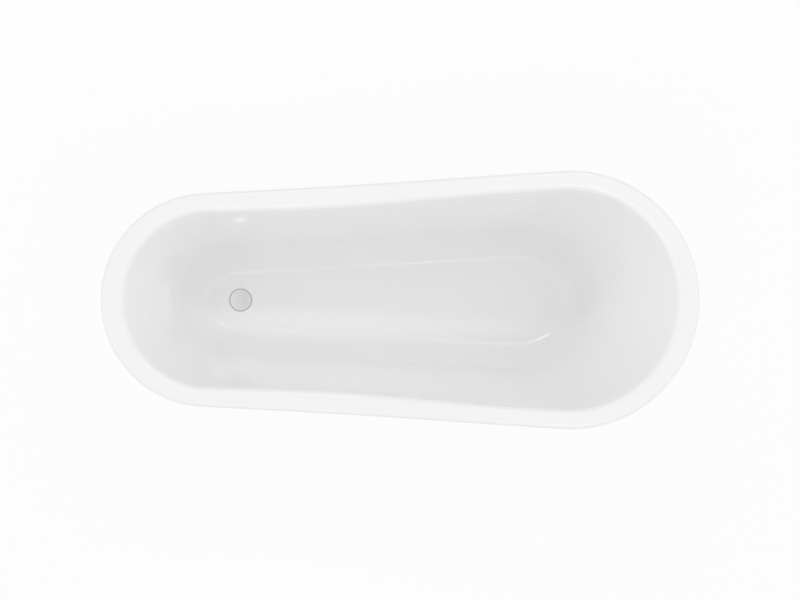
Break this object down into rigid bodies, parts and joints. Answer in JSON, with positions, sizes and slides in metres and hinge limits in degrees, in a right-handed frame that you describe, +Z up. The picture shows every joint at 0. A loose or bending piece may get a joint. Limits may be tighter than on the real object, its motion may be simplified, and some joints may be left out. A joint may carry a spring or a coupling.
{
  "type": "clawfoot bathtub",
  "caption": "Freestanding slipper bathtub: a white twin-walled acrylic tub with one raised sloping end, a push-to-open waste and chromed ball-and-claw feet with levellers.",
  "frame": {"origin": "on the floor, under the middle of the rim's length and on the plane of symmetry", "axes": "+X towards the raised slipper back, +Y to the left seen from the foot end, +Z up"},
  "size_m": [1.7, 0.7232, 0.785],
  "materials": {
    "basin_acrylic": "white gloss acrylic, smooth",
    "skin_acrylic": "white gloss acrylic, smooth",
    "board_wood": "raw particle board and plywood",
    "foot_chrome": "cast, polished and chromed",
    "waste_chrome": "polished chrome on brass",
    "waste_brass": "nickel-plated brass",
    "fixing_steel": "zinc-plated steel",
    "seal_rubber": "black rubber",
    "pad_rubber": "dark grey rubber",
    "slip_plastic": "natural nylon"
  },
  "bodies": {
    "tub": {"inner_basin": "basin_acrylic", "outer_skin": "skin_acrylic", "base_board": "board_wood", "waste_body": "waste_brass", "waste_flange_seal": "seal_rubber", "waste_lower_gasket": "seal_rubber", "waste_slip_washer": "slip_plastic", "waste_lock_nut": "waste_brass", "waste_cartridge": "waste_brass", "waste_tailpiece": "waste_chrome", "waste_tail_washer": "seal_rubber", "waste_tail_nut": "waste_brass", "claw_foot_waste_end_left": "foot_chrome", "foot_gasket_waste_end_left": "seal_rubber", "stud_plate_waste_end_left": "fixing_steel", "mounting_block_waste_end_left": "board_wood", "foot_washers_waste_end_left": "fixing_steel", "foot_nuts_waste_end_left": "fixing_steel", "claw_foot_waste_end_right": "foot_chrome", "foot_gasket_waste_end_right": "seal_rubber", "stud_plate_waste_end_right": "fixing_steel", "mounting_block_waste_end_right": "board_wood", "foot_washers_waste_end_right": "fixing_steel", "foot_nuts_waste_end_right": "fixing_steel", "claw_foot_back_end_left": "foot_chrome", "foot_gasket_back_end_left": "seal_rubber", "stud_plate_back_end_left": "fixing_steel", "mounting_block_back_end_left": "board_wood", "foot_washers_back_end_left": "fixing_steel", "foot_nuts_back_end_left": "fixing_steel", "claw_foot_back_end_right": "foot_chrome", "foot_gasket_back_end_right": "seal_rubber", "stud_plate_back_end_right": "fixing_steel", "mounting_block_back_end_right": "board_wood", "foot_washers_back_end_right": "fixing_steel", "foot_nuts_back_end_right": "fixing_steel"},
    "waste_plug": {"waste_plunger": "fixing_steel", "waste_cap": "waste_chrome", "waste_cap_seal": "seal_rubber"},
    "pad_waste_end_left": {"leveller_pad_waste_end_left": "pad_rubber"},
    "screw_waste_end_left": {"leveller_screw_waste_end_left": "fixing_steel"},
    "pad_waste_end_right": {"leveller_pad_waste_end_right": "pad_rubber"},
    "screw_waste_end_right": {"leveller_screw_waste_end_right": "fixing_steel"},
    "pad_back_end_left": {"leveller_pad_back_end_left": "pad_rubber"},
    "screw_back_end_left": {"leveller_screw_back_end_left": "fixing_steel"},
    "pad_back_end_right": {"leveller_pad_back_end_right": "pad_rubber"},
    "screw_back_end_right": {"leveller_screw_back_end_right": "fixing_steel"}
  },
  "joints": [
    {"name": "plug_lift", "type": "slide", "parent": "tub", "child": "waste_plug", "axis": [0, 0, 1], "range_m": [0, 0.01]},
    {"name": "pad_drop_waste_end_left", "type": "slide", "parent": "tub", "child": "pad_waste_end_left", "axis": [0, 0, -1], "range_m": [0, 0.012]},
    {"name": "screw_turn_waste_end_left", "type": "hinge", "parent": "pad_waste_end_left", "child": "screw_waste_end_left", "pos_m": [-0.41296, 0.23384, 0.005], "axis": [0, 0, 1], "range_deg": [0, 2880]},
    {"name": "pad_drop_waste_end_right", "type": "slide", "parent": "tub", "child": "pad_waste_end_right", "axis": [0, 0, -1], "range_m": [0, 0.012]},
    {"name": "screw_turn_waste_end_right", "type": "hinge", "parent": "pad_waste_end_right", "child": "screw_waste_end_right", "pos_m": [-0.41296, -0.23384, 0.005], "axis": [0, 0, 1], "range_deg": [0, 2880]},
    {"name": "pad_drop_back_end_left", "type": "slide", "parent": "tub", "child": "pad_back_end_left", "axis": [0, 0, -1], "range_m": [0, 0.012]},
    {"name": "screw_turn_back_end_left", "type": "hinge", "parent": "pad_back_end_left", "child": "screw_back_end_left", "pos_m": [0.44317, 0.26814, 0.005], "axis": [0, 0, 1], "range_deg": [0, 2880]},
    {"name": "pad_drop_back_end_right", "type": "slide", "parent": "tub", "child": "pad_back_end_right", "axis": [0, 0, -1], "range_m": [0, 0.012]},
    {"name": "screw_turn_back_end_right", "type": "hinge", "parent": "pad_back_end_right", "child": "screw_back_end_right", "pos_m": [0.44317, -0.26814, 0.005], "axis": [0, 0, 1], "range_deg": [0, 2880]}
  ],
  "couplings": [
    {"joint": "screw_turn_waste_end_left", "follows": "pad_drop_waste_end_left", "rad_per_m": 4188.8},
    {"joint": "screw_turn_waste_end_right", "follows": "pad_drop_waste_end_right", "rad_per_m": 4188.8},
    {"joint": "screw_turn_back_end_left", "follows": "pad_drop_back_end_left", "rad_per_m": 4188.8},
    {"joint": "screw_turn_back_end_right", "follows": "pad_drop_back_end_right", "rad_per_m": 4188.8}
  ]
}
